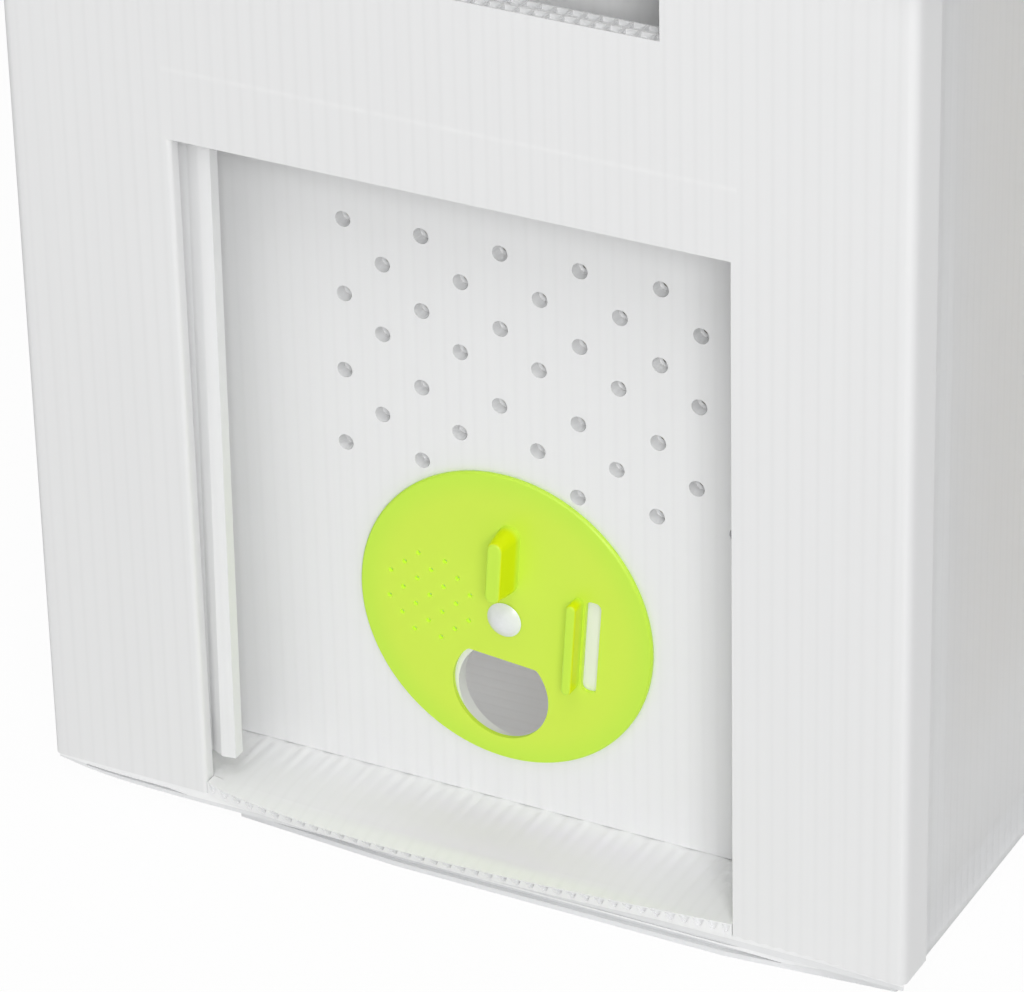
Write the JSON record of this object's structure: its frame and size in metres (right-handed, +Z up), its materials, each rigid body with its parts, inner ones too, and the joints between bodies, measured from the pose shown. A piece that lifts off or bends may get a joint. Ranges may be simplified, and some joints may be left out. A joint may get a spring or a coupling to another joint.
{
  "type": "nucleus hive",
  "caption": "Nucleus hive folded from white fluted plastic sheet: recessed vented porch, rotary entrance disc, hinged lid and comb frames hung inside.",
  "frame": {"origin": "middle of the face that the hive stands on", "axes": "+Z up, the porch and entrance face -Y, +X to the right seen from the front"},
  "size_m": [0.243, 0.5304, 0.2915],
  "materials": {
    "fluted_sheet": "satin",
    "lime_plastic": "satin",
    "rivet_plastic": "gloss",
    "pine": "matte",
    "wax": "satin",
    "nail_steel": "satin"
  },
  "bodies": {
    "hive": {"front_wall": "fluted_sheet", "front_liner": "fluted_sheet", "left_front_flap": "fluted_sheet", "right_front_flap": "fluted_sheet", "left_wall": "fluted_sheet", "right_wall": "fluted_sheet", "left_bottom_flap": "fluted_sheet", "right_bottom_flap": "fluted_sheet", "front_inner_panel": "fluted_sheet", "porch_floor": "fluted_sheet", "front_frame_rest": "fluted_sheet", "back_wall": "fluted_sheet", "back_liner": "fluted_sheet", "left_back_flap": "fluted_sheet", "right_back_flap": "fluted_sheet", "back_inner_panel": "fluted_sheet", "back_floor_flange": "fluted_sheet", "back_frame_rest": "fluted_sheet", "pivot_rivet": "rivet_plastic"},
    "lid": {"lid_panel": "fluted_sheet", "lid_front_skirt": "fluted_sheet", "lid_back_skirt": "fluted_sheet", "lid_side_skirt": "fluted_sheet"},
    "entrance_disc": {"entrance_disc": "lime_plastic"},
    "frame_pack": {"top_bar_1": "pine", "front_side_bar_1": "pine", "back_side_bar_1": "pine", "bottom_bar_1": "pine", "top_bar_2": "pine", "front_side_bar_2": "pine", "back_side_bar_2": "pine", "bottom_bar_2": "pine", "top_bar_3": "pine", "front_side_bar_3": "pine", "back_side_bar_3": "pine", "bottom_bar_3": "pine", "top_bar_4": "pine", "front_side_bar_4": "pine", "back_side_bar_4": "pine", "bottom_bar_4": "pine", "top_bar_5": "pine", "front_side_bar_5": "pine", "back_side_bar_5": "pine", "bottom_bar_5": "pine", "top_bar_6": "pine", "front_side_bar_6": "pine", "back_side_bar_6": "pine", "bottom_bar_6": "pine", "foundation_1": "wax", "foundation_2": "wax", "foundation_3": "wax", "foundation_4": "wax", "foundation_5": "wax", "foundation_6": "wax", "frame_nails": "nail_steel"}
  },
  "joints": [
    {"name": "lid_hinge", "type": "hinge", "parent": "hive", "child": "lid", "pos_m": [-0.116, 0, 0.288], "axis": [0, -1, 0], "range_deg": [0, 170]},
    {"name": "disc_turn", "type": "hinge", "parent": "hive", "child": "entrance_disc", "pos_m": [0, -0.2355, 0.0645], "axis": [0, -1, 0], "continuous": true},
    {"name": "frames_slide", "type": "slide", "parent": "hive", "child": "frame_pack", "axis": [1, 0, 0], "range_m": [-0.007, 0.007]}
  ]
}
